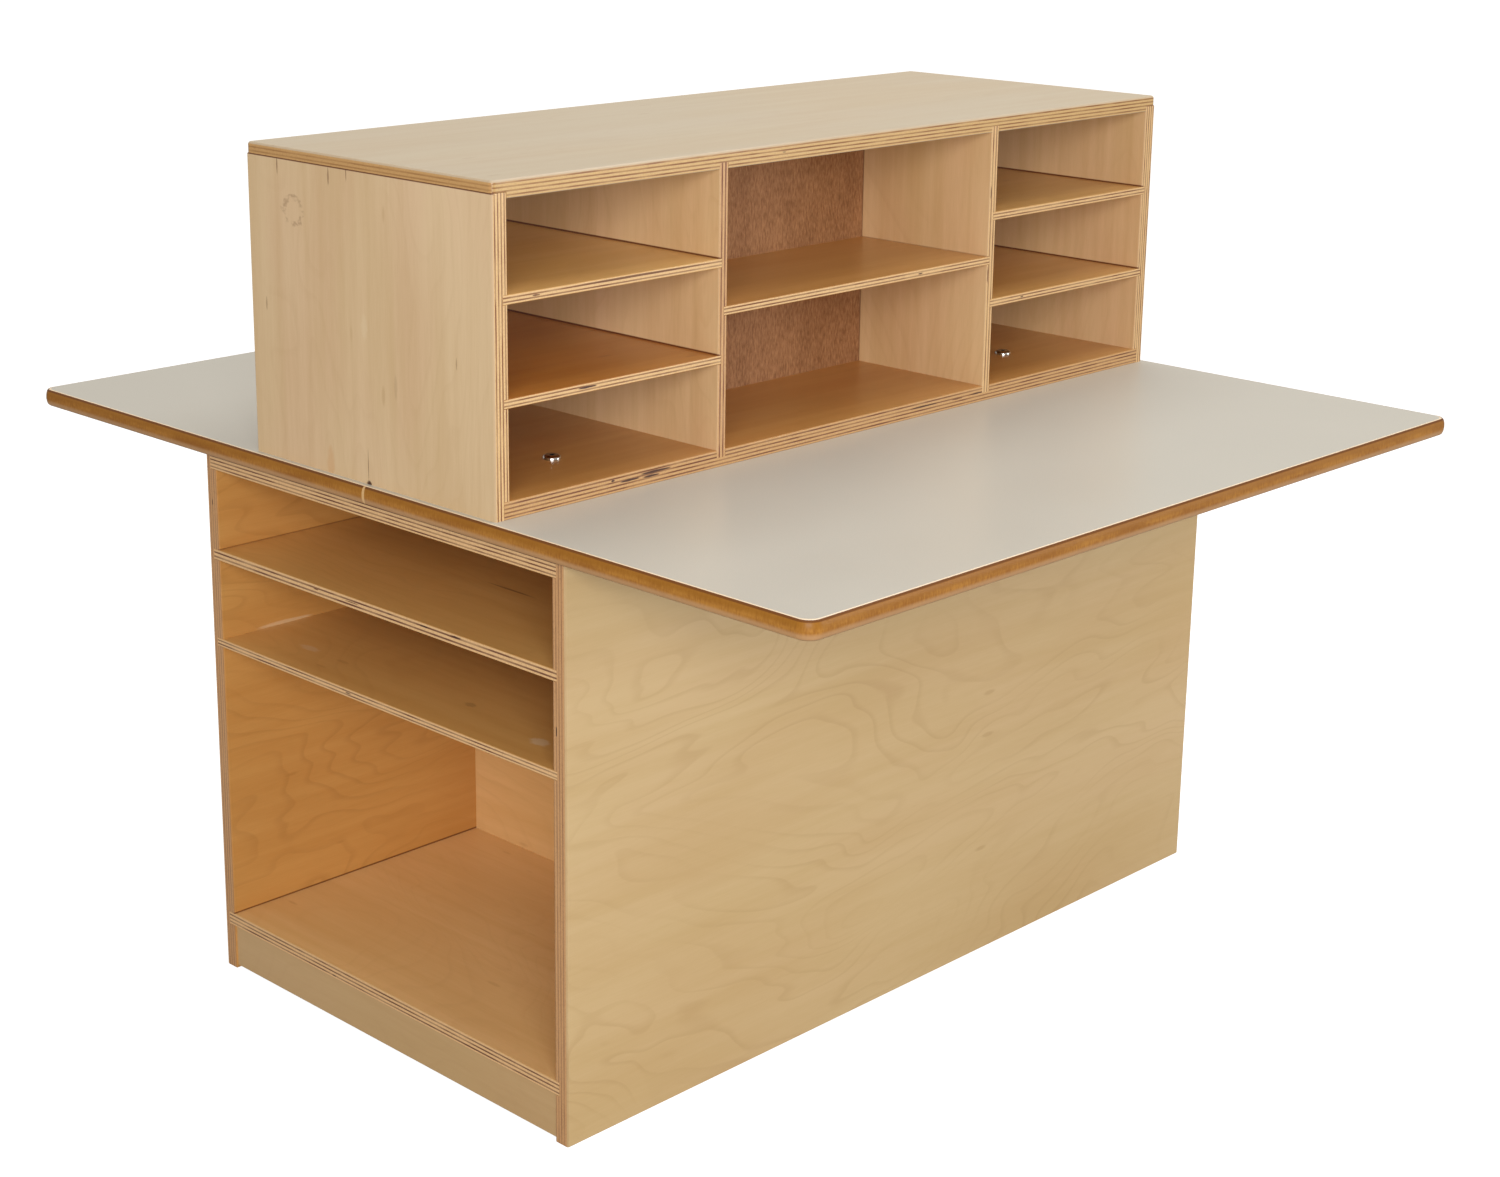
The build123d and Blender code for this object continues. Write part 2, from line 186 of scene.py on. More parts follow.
# Plywood edge: the plies are counted through the thickness. A ply whose fibres run along the
# edge is pale, and one cut across them shows as a brown line, darkest at its middle. An end cut
# of the whole board is darker all over. Here and there an inner ply has a dark gap.
plyLook = {
    "wander": {"stretch": (7.0, 7.0, 90.0), "plies": 0.35, "fromFace": (0.2, 1.4)},
    "line": {"edge": (0.5, 0.3), "depth": 0.8, "least": 0.5, "band": (0.3, 0.7)},
    "endCut": {"shade": 0.75, "fainterLines": -0.45},
    "alongPly": (26.0, 26.0, 0.0),     # how often a ply's own shade changes per metre
    "plyToPly": 3.7,                   # steps through the noise, so that no two plies are alike
    "specks": {"stretch": (700.0, 700.0, 900.0), "band": (0.4, 0.8), "share": 0.25, "relief": 0.4},
    "gap": {"color": display(66, 32, 6), "shift": 3.0, "rare": (0.75, 0.77), "edge": (0.42, 0.3),
            "depth": 6.0},
    "face": (0.2, 0.45),               # how far a surface leans to the board's face before it counts as face
    "arris": (0.999, 0.9),             # the normal's largest part, where a rounded arris starts and is full
}


def makePlyEdge():
    group, entry, leave = newGroup(
        "plyEdge",
        [("Vector", "Vector"), ("Normal", "Vector"), ("Thickness", "Float"), ("Plies", "Float"),
         ("Seed", "Float"), ("Along", "Color"), ("Across", "Color"), ("EndGrain", "Color"),
         ("Gaps", "Float")],
        [("Color", "Color"), ("Height", "Float"), ("Face", "Float"), ("Round", "Float")],
    )
    at, seed = entry["Vector"], entry["Seed"]
    wander, line, endCut = plyLook["wander"], plyLook["line"], plyLook["endCut"]
    specks, gap = plyLook["specks"], plyLook["gap"]

    # which ply, and how far from its middle
    depth = put(group, "SeparateXYZ", {0: at}).outputs[2]
    ply = sums(group, "MULTIPLY_ADD", sums(group, "DIVIDE", depth, entry["Thickness"]), entry["Plies"],
               sums(group, "MULTIPLY", entry["Plies"], 0.5))
    nearest = sums(group, "MINIMUM", ply, sums(group, "SUBTRACT", entry["Plies"], ply))
    wave = noise(group, stretch(group, at, *wander["stretch"]), seed, detail=1.0)
    wave = sums(group, "SUBTRACT", wave, 0.5)
    wave = sums(group, "MULTIPLY", wave, ramp(group, nearest, *wander["fromFace"]))
    ply = sums(group, "MULTIPLY_ADD", wave, wander["plies"], ply)
    top = sums(group, "SUBTRACT", entry["Plies"], 0.001)
    ply = sums(group, "MINIMUM", sums(group, "MAXIMUM", ply, 0.001), top)
    index = sums(group, "FLOOR", ply)
    middle = sums(group, "ABSOLUTE", sums(group, "SUBTRACT", sums(group, "FRACT", ply), 0.5))

    # which plies are cut across: every second one, and the others where the board's end shows
    facing = put(group, "VectorMath", {0: entry["Normal"]}, operation="ABSOLUTE").outputs[0]
    facing = put(group, "SeparateXYZ", {0: facing}).outputs
    ended = sums(group, "GREATER_THAN", facing[0], facing[1])
    across = sums(group, "ABSOLUTE", sums(group, "SUBTRACT", ended, sums(group, "MODULO", index, 2.0)))
    across = sums(group, "MULTIPLY", across, ramp(group, middle, *line["edge"]))
    across = sums(group, "MULTIPLY", across, sums(group, "MULTIPLY_ADD", ended, endCut["fainterLines"], 1.0))

    # colours
    shift = put(group, "CombineXYZ", {2: sums(group, "MULTIPLY", index, plyLook["plyToPly"])}).outputs[0]
    run = stretch(group, at, *plyLook["alongPly"])
    run = put(group, "VectorMath", {0: run, 1: shift}, operation="ADD").outputs[0]
    uneven = ramp(group, noise(group, run, seed, detail=2.0), *line["band"], line["least"], 1.0)
    speck = noise(group, stretch(group, at, *specks["stretch"]), seed, detail=1.0)
    base = tint(group, sums(group, "MULTIPLY", ended, endCut["shade"]), entry["Along"], entry["EndGrain"])
    color = tint(group, sums(group, "MULTIPLY", across, uneven), base, entry["Across"])
    color = tint(group, ramp(group, speck, *specks["band"], 0.0, specks["share"]), color, entry["Across"])
    inner = sums(group, "MULTIPLY", sums(group, "GREATER_THAN", index, 0.5),
                 sums(group, "LESS_THAN", index, sums(group, "SUBTRACT", entry["Plies"], 1.5)))
    hole = ramp(group, noise(group, run, sums(group, "ADD", seed, gap["shift"]), detail=0.5), *gap["rare"])
    hole = sums(group, "MULTIPLY", sums(group, "MULTIPLY", hole, inner), ramp(group, middle, *gap["edge"]))
    hole = sums(group, "MULTIPLY", hole, entry["Gaps"])
    color = tint(group, hole, color, gap["color"])
    height = sums(group, "SUBTRACT", sums(group, "MULTIPLY", speck, specks["relief"]),
                  sums(group, "MULTIPLY", hole, gap["depth"]))
    height = sums(group, "SUBTRACT", height, sums(group, "MULTIPLY", across, line["depth"]))
    outer = sums(group, "SUBTRACT", 1.0, inner)
    widest = sums(group, "MAXIMUM", facing[0], sums(group, "MAXIMUM", facing[1], facing[2]))
    group.links.new(color, leave["Color"])
    group.links.new(height, leave["Height"])
    group.links.new(sums(group, "MULTIPLY", outer, ramp(group, facing[2], *plyLook["face"])), leave["Face"])
    group.links.new(ramp(group, widest, *plyLook["arris"]), leave["Round"])
    return group


# Soft-edged spot: 1 at the centre of an ellipsoid of the given half sizes, 0 outside it.
# Ring is the broken outline that a small knot leaves. Distances are shares of the half sizes.
spotLook = {"edge": (1.0, 0.55), "ringAt": 0.78, "ringWidth": (0.17, 0.03), "breaks": (0.42, 0.58)}


def makeSpot():
    group, entry, leave = newGroup(
        "spot", [("Vector", "Vector"), ("Centre", "Vector"), ("Size", "Vector"), ("Ragged", "Float")],
        [("Mask", "Float"), ("Ring", "Float")],
    )
    away = put(group, "VectorMath", {0: entry["Vector"], 1: entry["Centre"]}, operation="SUBTRACT").outputs[0]
    away = put(group, "VectorMath", {0: away, 1: entry["Size"]}, operation="DIVIDE").outputs[0]
    far = put(group, "VectorMath", {0: away}, operation="LENGTH").outputs["Value"]
    wobble = sums(group, "SUBTRACT", noise(group, away, 0.0, detail=3.0, scale=2.0), 0.5)
    far = sums(group, "MULTIPLY_ADD", wobble, entry["Ragged"], far)
    group.links.new(ramp(group, far, *spotLook["edge"]), leave["Mask"])
    band = sums(group, "ABSOLUTE", sums(group, "SUBTRACT", far, spotLook["ringAt"]))
    band = ramp(group, band, *spotLook["ringWidth"])
    breaks = ramp(group, noise(group, away, 4.0, detail=2.0, scale=2.6), *spotLook["breaks"])
    group.links.new(sums(group, "MULTIPLY", band, breaks), leave["Ring"])
    return group


birchVeneer = makeBirchVeneer()
plyEdge = makePlyEdge()
spot = makeSpot()
print("shared effects made")

# ---- birch plywood ----

plywood = {
    "plies": ((0.016, 9), (0.014, 7), (0.0, 5)),      # boards thicker than this, number of plies
    "roughness": (0.38, 0.48),
    "coat": 0.35,
    "coatRoughness": 0.2,
    "relief": 0.00006,
    "reliefStrength": 0.6,
    "arrisShade": 0.25,
    "ragged": 0.9,            # how far a mark strays from a plain ellipse
    "seedStep": 1.7,          # sets each board's figure apart from the next one's
}

# ply edge: long grain, cross ply, end cut
edges = {
    "hutch": (display(221, 182, 127), display(118, 62, 16), display(196, 148, 90)),
    "hutch_divider_left": (display(203, 157, 106), display(110, 54, 14), display(196, 148, 90)),
    "hutch_top": (display(206, 168, 109), display(130, 78, 26), display(196, 148, 90)),
    "hutch_floor": (display(200, 156, 101), display(104, 50, 12), display(196, 148, 90)),
    "base": (display(226, 182, 128), display(100, 52, 20), display(190, 138, 88)),
}

# lacquered veneer: pale wood, darker wood, ring lines. The golden, rosy, warm, amber, honey and russet tones
# are painted shade: deeper, warmer copies of the birch for the shaded insides of the hutch and the cabinet
tones = {
    "birch": (display(209, 179, 130), display(198, 165, 112), display(164, 120, 68)),
    "hutch": (display(221, 192, 151), display(205, 172, 127), display(174, 132, 82)),
    "kick": (display(199, 165, 117), display(187, 151, 101), display(156, 112, 66)),
    # painted sheen: the hutch top's tone is paled and greyed for the white overhead reflected in its lacquer
    "bleached": (display(210, 193, 163), display(203, 181, 147), display(178, 146, 106)),
    "golden": (display(223, 188, 141), display(201, 162, 111), display(172, 124, 72)),
    "rosy": (display(236, 194, 134), display(222, 176, 112), display(176, 124, 70)),
    "warm": (display(234, 186, 114), display(220, 168, 92), display(172, 118, 54)),
    "amber": (display(220, 171, 101), display(204, 150, 80), display(162, 106, 48)),
    "honey": (display(206, 152, 84), display(190, 132, 64), display(146, 92, 38)),
    "russet": (display(198, 136, 60), display(182, 114, 40), display(140, 80, 24)),
}


def boardFrame(name, thick, grain):
    # middle of the board, and its turn: local X along the grain, local Z through the thickness
    low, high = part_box(name)
    through, length = axes[thick], axes[grain]
    turn = Matrix((length, through.cross(length), through)).transposed().to_euler()
    return (low + high) / 2, turn, (high - low).dot(through)


def plywoodMaterial(name, thick, grain, figure=0.19, flecks=0.3, gaps=1.0, tone="birch", inside=None,
                    blush=0.2):
    material, tree, shader = newMaterial("birch_" + name)
    middle, turn, thickness = boardFrame(name, thick, grain)
    plies = next(count for least, count in plywood["plies"] if thickness > least)
    seed = plywood["seedStep"] * sorted(nodes).index(name)
    place = put(tree, "TexCoord").outputs["Object"]
    local = put(tree, "Mapping", {"Vector": place, "Location": middle, "Rotation": turn},
                vector_type="TEXTURE").outputs[0]
    normal = put(tree, "Mapping", {"Vector": put(tree, "NewGeometry").outputs["Normal"], "Rotation": turn},
                 vector_type="TEXTURE").outputs[0]
    pale, tan, line = tones[tone]
    along, across, endGrain = edges.get(name, edges["hutch" if name.startswith("hutch") else "base"])
    if inside:
        # one side of the board, +1 or -1 through its thickness, faces inwards and gets a darker, warmer tone:
        # painted shade of the shaded inside
        side, shadeTone = inside
        through = put(tree, "SeparateXYZ", {0: local}).outputs[2]
        shadedFace = sums(tree, "GREATER_THAN", sums(tree, "MULTIPLY", through, side), 0.0)
        pale, tan, line = (tint(tree, shadedFace, *pair) for pair in zip(tones[tone], tones[shadeTone]))
    face = useGroup(tree, birchVeneer, {
        "Vector": local, "Seed": seed, "Pale": pale, "Tan": tan, "Line": line,
        "Figure": figure, "Flecks": flecks, "Blush": blush})
    edge = useGroup(tree, plyEdge, {
        "Vector": local, "Normal": normal, "Thickness": thickness, "Plies": plies, "Seed": seed,
        "Along": along, "Across": across, "EndGrain": endGrain, "Gaps": gaps})
    color = tint(tree, edge["Face"], edge["Color"], face["Color"])
    for kind, offset, size, shade, strength in marks.get(name, ()):
        mark = useGroup(tree, spot, {
            "Vector": place, "Centre": middle + Vector(offset), "Size": size, "Ragged": plywood["ragged"]})
        color = tint(tree, sums(tree, "MULTIPLY", mark[kind], strength), color, stainsAndShadows[shade])
    color = tint(tree, sums(tree, "MULTIPLY", edge["Round"], plywood["arrisShade"]), color, across)
    height = put(tree, "Mix", {0: edge["Face"], 2: edge["Height"], 3: face["Height"]}, data_type="FLOAT")
    tree.links.new(color, shader.inputs["Base Color"])
    tree.links.new(ramp(tree, face["Satin"], 0.0, 1.0, *plywood["roughness"]), shader.inputs["Roughness"])
    bump = put(tree, "Bump", {"Height": height.outputs[0], "Distance": plywood["relief"],
                              "Strength": plywood["reliefStrength"]})
    tree.links.new(bump.outputs[0], shader.inputs["Normal"])
    shader.inputs["Coat Weight"].default_value = plywood["coat"]
    shader.inputs["Coat Roughness"].default_value = plywood["coatRoughness"]
    give(material, name)


# natural marks and wear, and the joint lines added below, which are partly dirt and partly painted shadow:
# kind, offset from the board's middle, half sizes (metres), shade, strength
stainsAndShadows = {
    "pith": display(108, 64, 28),
    "void": display(66, 27, 2),
    "rust": display(196, 132, 66),
    "scuff": display(232, 212, 178),
    "chip": display(228, 206, 168),
    # joint lines: partly dirt, partly painted shadow in the gap
    "joint": display(96, 42, 8),
}
marks = {
    "hutch_side_left": (
        ("Ring", (0, 0.116, 0.107), (0.05, 0.023, 0.017), "pith", 0.35),
        ("Mask", (0, 0.141, 0.151), (0.05, 0.0014, 0.011), "pith", 0.65),
        ("Mask", (0, 0.056, 0.148), (0.05, 0.0020, 0.010), "pith", 0.55),
        ("Mask", (0, 0.027, 0.156), (0.05, 0.0011, 0.011), "pith", 0.65),
        ("Mask", (0, 0.167, 0.004), (0.05, 0.0018, 0.008), "pith", 0.4),
        ("Mask", (0, -0.138, -0.012), (0.05, 0.0013, 0.007), "pith", 0.4),
        ("Mask", (0, -0.044, -0.051), (0.05, 0.0035, 0.014), "pith", 0.15),
        ("Mask", (0, 0.004, 0.003), (0.05, 0.007, 0.014), "chip", 0.25),
        ("Mask", (0, 0.065, -0.150), (0.05, 0.008, 0.022), "rust", 0.3),
        ("Mask", (0, 0.003, -0.140), (0.05, 0.0006, 0.020), "pith", 0.9),
        ("Mask", (0, 0.002, -0.158), (0.05, 0.005, 0.0035), "void", 1.0),
    ),
    "hutch_shelf_left_upper": (
        ("Mask", (0.03, -0.193, 0.0022), (0.115, 0.03, 0.0014), "pith", 0.9),
        ("Mask", (-0.106, -0.193, 0.0), (0.006, 0.03, 0.0012), "pith", 0.9),
    ),
    "hutch_shelf_left_lower": (("Mask", (-0.04, -0.193, 0.0006), (0.015, 0.03, 0.0014), "void", 1.0),),
    "hutch_shelf_middle_front": (("Mask", (0.06, -0.193, -0.0008), (0.010, 0.03, 0.0013), "void", 1.0),),
    "hutch_floor": (
        ("Mask", (-0.352, -0.193, 0.0008), (0.016, 0.03, 0.0015), "void", 1.0),
        ("Mask", (-0.316, -0.193, 0.0036), (0.026, 0.03, 0.0016), "void", 1.0),
        ("Mask", (-0.322, -0.193, -0.0002), (0.014, 0.03, 0.0014), "void", 1.0),
        ("Mask", (-0.375, -0.193, 0.0040), (0.003, 0.03, 0.0013), "void", 1.0),
        ("Mask", (0.108, -0.193, 0.0020), (0.028, 0.03, 0.0013), "void", 0.9),
        ("Mask", (0.168, -0.193, 0.0012), (0.012, 0.03, 0.0013), "pith", 0.9),
        ("Mask", (0.205, -0.193, 0.0020), (0.016, 0.03, 0.0012), "void", 0.9),
    ),
    "base_shelf_upper_left": (
        ("Mask", (-0.181, -0.132, 0.0030), (0.03, 0.010, 0.0011), "void", 1.0),
        ("Mask", (-0.181, 0.096, 0.0010), (0.03, 0.005, 0.0008), "pith", 1.0),
        ("Mask", (-0.181, 0.035, 0.0004), (0.03, 0.014, 0.0006), "pith", 1.0),
        ("Mask", (-0.045, -0.060, 0.0), (0.0022, 0.045, 0.03), "pith", 0.6),
    ),
    "base_shelf_lower_left": (
        ("Mask", (-0.130, 0.180, 0.0), (0.007, 0.020, 0.03), "scuff", 0.3),
        ("Mask", (-0.140, -0.209, 0.0), (0.010, 0.016, 0.03), "scuff", 0.45),
        ("Mask", (-0.120, -0.080, 0.0), (0.006, 0.010, 0.03), "pith", 0.3),
    ),
    "base_side_back": (("Mask", (-0.447, -0.008, 0.0945), (0.045, 0.03, 0.003), "scuff", 0.35),),
    "hutch_divider_right": (
        ("Mask", (-0.0037, -0.193, 0.078), (0.0011, 0.03, 0.009), "void", 0.9),
        ("Mask", (-0.0042, -0.193, -0.016), (0.0011, 0.03, 0.012), "pith", 0.9),
    ),
}


# joint lines, partly dirt and partly painted shadow of the gap between boards: half width in metres and
# strength; depth and reach are half sizes the other two ways
jointShadowLines = {
    "hutchShelf": (0.0015, 0.95),
    "middleShelf": (0.0008, 0.4),
    "hutchTop": (0.0012, 0.9),
    "hardboard": (0.0014, 0.7),
    "cabinetFloor": (0.0016, 0.85),
    "cabinetShelf": (0.0012, 0.6),
    "inset": 0.4,             # share of the half width between the line's middle and the joint
    "depth": 0.004,
    "reach": {"x": 0.7, "y": 1.2, "up": 0.6},
}


def addJointShadow(name, offset, size, strength):
    marks[name] = marks.get(name, ()) + (("Mask", offset, size, "joint", strength),)


def seam(name, other, kind, way="x", over=True):
    # dark joint line, partly dirt and partly painted shadow of the gap, just over another board, or at the
    # board's own top, on its -X or -Y face
    width, strength = jointShadowLines[kind]
    low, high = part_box(name)
    middle = (low + high) / 2
    inset = width * jointShadowLines["inset"]
    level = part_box(other)[1].z + inset if over else high.z - inset
    offset = axes[way] * (low - middle).dot(axes[way]) + axes["z"] * (level - middle.z)
    depth, reach = jointShadowLines["depth"], jointShadowLines["reach"][way]
    addJointShadow(name, offset, (depth, reach, width) if way == "x" else (reach, depth, width), strength)


def grooveLine(name, panel, kind):
    # the same where an upright panel enters a board's -X face
    width, strength = jointShadowLines[kind]
    low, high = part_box(name)
    start = Vector((low.x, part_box(panel)[0].y - width * jointShadowLines["inset"], (low.z + high.z) / 2))
    size = (jointShadowLines["depth"], width, jointShadowLines["reach"]["up"])
    addJointShadow(name, start - (low + high) / 2, size, strength)


for column, board in (("left", "hutch_divider_left"), ("right", "hutch_side_right")):
    for level in ("upper", "lower"):
        seam(board, f"hutch_shelf_{column}_{level}", "hutchShelf")
seam("hutch_divider_right", "hutch_shelf_middle_front", "middleShelf")
seam("hutch_side_left", "hutch_top", "hutchTop", over=False)
grooveLine("hutch_divider_right", "hutch_middle_back", "hardboard")
seam("base_side_back", "base_floor", "cabinetFloor", way="y")
seam("base_side_back", "base_shelf_upper_left", "cabinetShelf", way="y")

# the cabinet sides' inner faces get the amber and honey tones: painted shade
plywoodMaterial("base_side_front", "y", "x", inside=(1, "amber"))
plywoodMaterial("base_side_back", "y", "x", inside=(-1, "honey"))
# the sub-top, floor, backs and shelves inside the cabinet get deeper, warmer tones: painted shade
plywoodMaterial("base_sub_top", "z", "y", tone="amber")
plywoodMaterial("base_floor", "z", "y", figure=0.06, tone="rosy")
for end in ("left", "right"):
    plywoodMaterial(f"base_back_{end}", "x", "y", figure=0.1, tone="rosy")
    plywoodMaterial(f"kick_board_{end}", "x", "y", figure=0.05, tone="kick")
    plywoodMaterial(f"base_shelf_upper_{end}", "z", "y", figure=0.1, tone="amber")
    plywoodMaterial(f"base_shelf_lower_{end}", "z", "y", figure=0.1, tone="amber")
    # the hutch sides' inner faces get the golden tone: painted shade
    shadedInnerSide = (1 if end == "left" else -1, "golden")
    plywoodMaterial(f"hutch_side_{end}", "x", "z", figure=0.07, gaps=0.0, tone="hutch", inside=shadedInnerSide,
                    blush=0.45)
    # the dividers stand inside the hutch and get the golden tone: painted shade
    plywoodMaterial(f"hutch_divider_{end}", "x", "z", figure=0.1, gaps=0.0, tone="golden", blush=0.45)
# the hutch top's paler, greyer tone is a painted sheen
plywoodMaterial("hutch_top", "z", "x", figure=0.06, tone="bleached", blush=0.1)
# the hutch floor and shelves get deeper, warmer tones: painted shade, the lower left shelf the darkest
plywoodMaterial("hutch_floor", "z", "x", figure=0.06, tone="honey", blush=0.5)
shelfShadeTones = {"left_upper": "warm", "left_lower": "russet", "middle_front": "honey", "middle_rear": "honey"}
for name in nodes:
    if name.startswith("hutch_shelf"):
        tone = shelfShadeTones.get(name.replace("hutch_shelf_", ""), "amber")
        plywoodMaterial(name, "z", "x", figure=0.06, tone=tone)
print("plywood done")

# ---- hardboard between the front and rear cubbies ----

hardboard = {
    "dark": display(128, 83, 46),
    "light": display(178, 128, 84),
    "felt": (420.0, 420.0, 110.0),
    "blotch": (40.0, 40.0, 18.0),
    "blotchShare": 0.3,
    "contrast": (0.42, 0.88),
    "roughness": 0.7,
    "relief": 0.0002,
}


def hardboardMaterial():
    material, tree, shader = newMaterial("hardboard")
    place = put(tree, "TexCoord").outputs["Object"]
    felt = noise(tree, stretch(tree, place, *hardboard["felt"]), 1.0, detail=3.0, roughness=0.65)
    blotch = noise(tree, stretch(tree, place, *hardboard["blotch"]), 2.0, detail=2.0)
    mixed = sums(tree, "MULTIPLY_ADD", blotch, hardboard["blotchShare"], felt)
    mixed = ramp(tree, mixed, *hardboard["contrast"])
    tree.links.new(tint(tree, mixed, hardboard["dark"], hardboard["light"]), shader.inputs["Base Color"])
    bump = put(tree, "Bump", {"Height": felt, "Distance": hardboard["relief"], "Strength": 0.5})
    tree.links.new(bump.outputs[0], shader.inputs["Normal"])
    shader.inputs["Roughness"].default_value = hardboard["roughness"]
    give(material, "hutch_middle_back")


hardboardMaterial()

# ---- worktop ----

laminate = {
    "face": display(206, 201, 188),
    "mottle": display(197, 192, 179),
    "mottleShare": 0.5,
    "mottleScale": 900.0,
    "smearScale": 5.0,
    "bevel": display(246, 222, 188),
    "rim": 0.0015,
    "corner": 0.0165,
    "blur": 0.0004,           # half the width over which the rim's line fades
    "side": display(92, 62, 40),
    "roughness": (0.31, 0.39),
    "relief": 0.00002,
}


def laminateMaterial():
    material, tree, shader = newMaterial("laminate")
    place = put(tree, "TexCoord").outputs["Object"]
    up = put(tree, "SeparateXYZ", {0: put(tree, "NewGeometry").outputs["Normal"]}).outputs[2]
    grains = noise(tree, place, 0.0, detail=2.0, scale=laminate["mottleScale"])
    smear = noise(tree, place, 3.0, detail=3.0, scale=laminate["smearScale"])
    mottle = ramp(tree, grains, 0.35, 0.7, 0.0, laminate["mottleShare"])
    face = tint(tree, mottle, laminate["face"], laminate["mottle"])
    # a painted highlight: the edge shows as a pale line where it catches the light, found as the distance in
    # from a rounded rectangle
    low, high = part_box("worktop_laminate")
    straight = (high - low) / 2 - Vector((laminate["corner"], laminate["corner"], 0))
    past = put(tree, "VectorMath", {0: place}, operation="ABSOLUTE").outputs[0]
    past = put(tree, "VectorMath", {0: past, 1: straight}, operation="SUBTRACT").outputs[0]
    past = put(tree, "VectorMath", {0: past, 1: (0, 0, 0)}, operation="MAXIMUM").outputs[0]
    reach = put(tree, "VectorMath", {0: stretch(tree, past, 1, 1, 0)}, operation="LENGTH").outputs["Value"]
    inner = laminate["corner"] - laminate["rim"]
    rim = ramp(tree, reach, inner - laminate["blur"], inner + laminate["blur"])
    color = tint(tree, rim, face, laminate["bevel"])
    # tilted faces at the edge get the same painted highlight
    color = tint(tree, ramp(tree, up, 0.9, 0.99), laminate["bevel"], color)
    color = tint(tree, ramp(tree, up, 0.0, 0.15), laminate["side"], color)
    tree.links.new(color, shader.inputs["Base Color"])
    tree.links.new(ramp(tree, smear, 0.3, 0.7, *laminate["roughness"]), shader.inputs["Roughness"])
    bump = put(tree, "Bump", {"Height": grains, "Distance": laminate["relief"], "Strength": 0.4})
    tree.links.new(bump.outputs[0], shader.inputs["Normal"])
    give(material, "worktop_laminate")


molding = {
    "light": display(178, 122, 50),
    "dark": display(146, 92, 32),
    "shoulder": display(146, 94, 26),
    "lip": display(112, 66, 26),
    "foot": display(186, 144, 102),
    "seam": display(222, 184, 130),
    "lipFrom": 0.988,         # share of the height where the painted shadow line under the laminate's edge starts
    "lipBlur": 0.03,
    "streaks": (16.0, 16.0, 90.0),
    "specks": (500.0, 500.0, 160.0),
    "seamSize": (0.02, 0.0024, 0.02),
    "relief": 0.00005,
    "roughness": 0.4,
    "gloss": 0.2,
}


def moldingMaterial():
    material, tree, shader = newMaterial("edge_molding")
    low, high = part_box("worktop_edge_molding")
    place = put(tree, "TexCoord").outputs["Object"]
    level = ramp(tree, put(tree, "SeparateXYZ", {0: place}).outputs[2], low.z, high.z)
    vinyl = noise(tree, stretch(tree, place, *molding["streaks"]), 0.0, detail=3.0)
    speck = noise(tree, stretch(tree, place, *molding["specks"]), 4.0, detail=2.0)
    mixed = sums(tree, "MULTIPLY_ADD", vinyl, 0.6, sums(tree, "MULTIPLY", speck, 0.5))
    color = tint(tree, ramp(tree, mixed, 0.4, 0.72), molding["dark"], molding["light"])
    # painted light: the lower part of the strip is drawn paler and pinker
    color = tint(tree, ramp(tree, level, 0.4, 0.05, 0.0, 0.8), color, molding["foot"])
    # painted shade: the upper part of the strip is drawn darker and more orange
    color = tint(tree, ramp(tree, level, 0.45, 0.9, 0.0, 0.75), color, molding["shoulder"])
    # painted shadow: a dark band at the top of the strip, in the groove under the laminate's edge
    lip = ramp(tree, level, molding["lipFrom"] - molding["lipBlur"], molding["lipFrom"])
    color = tint(tree, lip, color, molding["lip"])
    # the two ends of the strip meet in the middle of the left end
    butt = useGroup(tree, spot, {
        "Vector": place, "Centre": Vector((low.x, 0.0, (low.z + high.z) / 2)), "Size": molding["seamSize"],
        "Ragged": 0.2})
    color = tint(tree, sums(tree, "MULTIPLY", butt["Mask"], 0.8), color, molding["seam"])
    tree.links.new(color, shader.inputs["Base Color"])
    bump = put(tree, "Bump", {"Height": speck, "Distance": molding["relief"], "Strength": 0.5})
    tree.links.new(bump.outputs[0], shader.inputs["Normal"])
    shader.inputs["Roughness"].default_value = molding["roughness"]
    shader.inputs["Specular IOR Level"].default_value = molding["gloss"]
    give(material, "worktop_edge_molding")


core = {
    "chip": display(196, 164, 120),
    "gap": display(120, 88, 56),
    "chipScale": 420.0,
    "roughness": 0.85,
}
backer = {
    "paper": display(96, 70, 50),
    "mottle": display(120, 88, 56),
    "mottleScale": 60.0,
    "mottleShare": 0.35,
    "roughness": 0.55,
    "relief": 0.0001,
}


def coreMaterial():
    material, tree, shader = newMaterial("particleboard")
    place = put(tree, "TexCoord").outputs["Object"]
    chip = put(tree, "TexVoronoi", {"Vector": place, "Scale": core["chipScale"]}).outputs["Distance"]
    color = tint(tree, ramp(tree, chip, 0.1, 0.6), core["chip"], core["gap"])
    tree.links.new(color, shader.inputs["Base Color"])
    shader.inputs["Roughness"].default_value = core["roughness"]
    give(material, "worktop_core")


def backerMaterial():
    material, tree, shader = newMaterial("backing_sheet")
    place = put(tree, "TexCoord").outputs["Object"]
    paper = noise(tree, place, 0.0, detail=4.0, roughness=0.7, scale=backer["mottleScale"])
    mottle = ramp(tree, paper, 0.3, 0.7, 0.0, backer["mottleShare"])
    tree.links.new(tint(tree, mottle, backer["paper"], backer["mottle"]), shader.inputs["Base Color"])
    bump = put(tree, "Bump", {"Height": paper, "Distance": backer["relief"], "Strength": 0.4})
    tree.links.new(bump.outputs[0], shader.inputs["Normal"])
    shader.inputs["Roughness"].default_value = backer["roughness"]
    give(material, "worktop_backer")


laminateMaterial()
moldingMaterial()
coreMaterial()
backerMaterial()
print("worktop done")

# ---- fasteners ----

